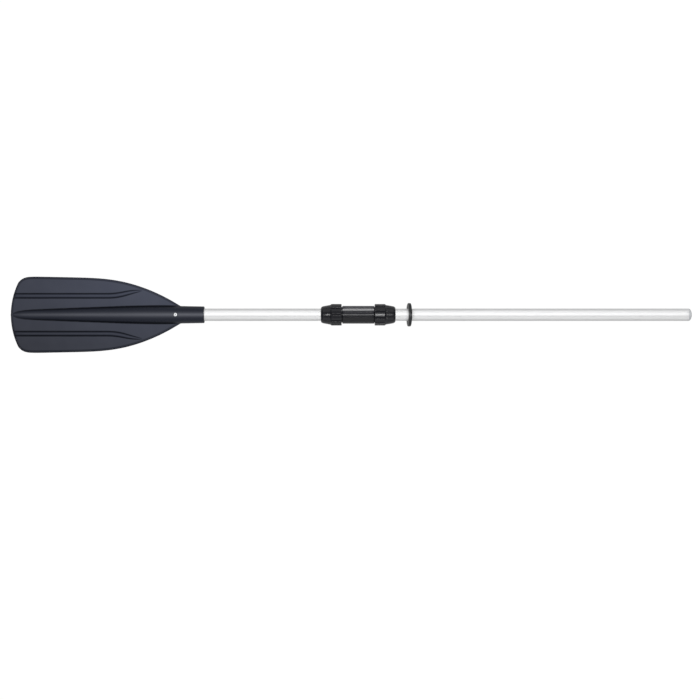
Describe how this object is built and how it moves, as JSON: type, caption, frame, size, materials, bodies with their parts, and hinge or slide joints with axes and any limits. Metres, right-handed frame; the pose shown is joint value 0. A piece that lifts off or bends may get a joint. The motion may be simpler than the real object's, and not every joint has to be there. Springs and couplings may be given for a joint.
{
  "type": "kayak paddle",
  "caption": "Single-bladed paddle with a ribbed plastic blade on an aluminium shaft that splits at a twist-lock coupling.",
  "frame": {"origin": "on the shaft axis, half way between the blade tip and the domed end", "axes": "+X along the shaft from the blade towards the handle end, +Y across the blade, +Z out of the blade's face"},
  "size_m": [1.37, 0.1534, 0.0472],
  "materials": {
    "blade_plastic": "satin moulded, lightly grained",
    "rivet_alloy": "bright",
    "rivet_steel": "broken end, dull",
    "tube_alloy": "satin anodised, drawn lengthwise",
    "plug_plastic": "moulded",
    "foam": "closed-cell foam",
    "coupling_plastic": "gloss moulded",
    "seal_rubber": "greased",
    "collet_plastic": "natural, moulded",
    "washer_plastic": "smooth",
    "cap_plastic": "satin grey",
    "ring_rubber": "smooth moulded"
  },
  "bodies": {
    "coupling": {"sleeve": "coupling_plastic", "blade_seal": "seal_rubber", "handle_seal": "seal_rubber"},
    "blade_lock_ring": {"blade_washer": "washer_plastic"},
    "blade_lock_nut": {"blade_nut": "coupling_plastic"},
    "blade_grip": {"blade_collet": "collet_plastic"},
    "blade_shaft": {"blade_tube": "tube_alloy", "blade": "blade_plastic", "rivet_body": "rivet_alloy", "rivet_mandrel": "rivet_steel", "blade_float_plug": "foam", "blade_tube_plug": "plug_plastic"},
    "handle_lock_ring": {"handle_washer": "washer_plastic"},
    "handle_lock_nut": {"handle_nut": "coupling_plastic"},
    "handle_grip": {"handle_collet": "collet_plastic"},
    "handle_shaft": {"handle_tube": "tube_alloy", "handle_tube_plug": "plug_plastic", "end_cap": "cap_plastic"},
    "ring": {"stop_ring": "ring_rubber"}
  },
  "joints": [
    {"name": "blade_nut_travel", "type": "slide", "parent": "coupling", "child": "blade_lock_ring", "axis": [-1, 0, 0], "range_m": [0, 0.006]},
    {"name": "blade_nut_turn", "type": "hinge", "parent": "blade_lock_ring", "child": "blade_lock_nut", "pos_m": [-0.05, 0, 0], "axis": [-1, 0, 0], "range_deg": [0, 720]},
    {"name": "blade_feather", "type": "hinge", "parent": "coupling", "child": "blade_grip", "pos_m": [-0.05, 0, 0], "axis": [1, 0, 0], "continuous": true},
    {"name": "blade_reach", "type": "slide", "parent": "blade_grip", "child": "blade_shaft", "axis": [-1, 0, 0], "range_m": [0, 0.1]},
    {"name": "handle_nut_travel", "type": "slide", "parent": "coupling", "child": "handle_lock_ring", "axis": [1, 0, 0], "range_m": [0, 0.006]},
    {"name": "handle_nut_turn", "type": "hinge", "parent": "handle_lock_ring", "child": "handle_lock_nut", "pos_m": [0.0785, 0, 0], "axis": [1, 0, 0], "range_deg": [0, 720]},
    {"name": "handle_twist", "type": "hinge", "parent": "coupling", "child": "handle_grip", "pos_m": [0.0785, 0, 0], "axis": [1, 0, 0], "continuous": true},
    {"name": "handle_reach", "type": "slide", "parent": "handle_grip", "child": "handle_shaft", "axis": [1, 0, 0], "range_m": [0, 0.1]},
    {"name": "ring_slide", "type": "slide", "parent": "handle_shaft", "child": "ring", "axis": [1, 0, 0], "range_m": [-0.012, 0.55]}
  ],
  "couplings": [
    {"joint": "blade_nut_travel", "follows": "blade_nut_turn", "m_per_rad": 0.00047746},
    {"joint": "handle_nut_travel", "follows": "handle_nut_turn", "m_per_rad": 0.00047746}
  ]
}
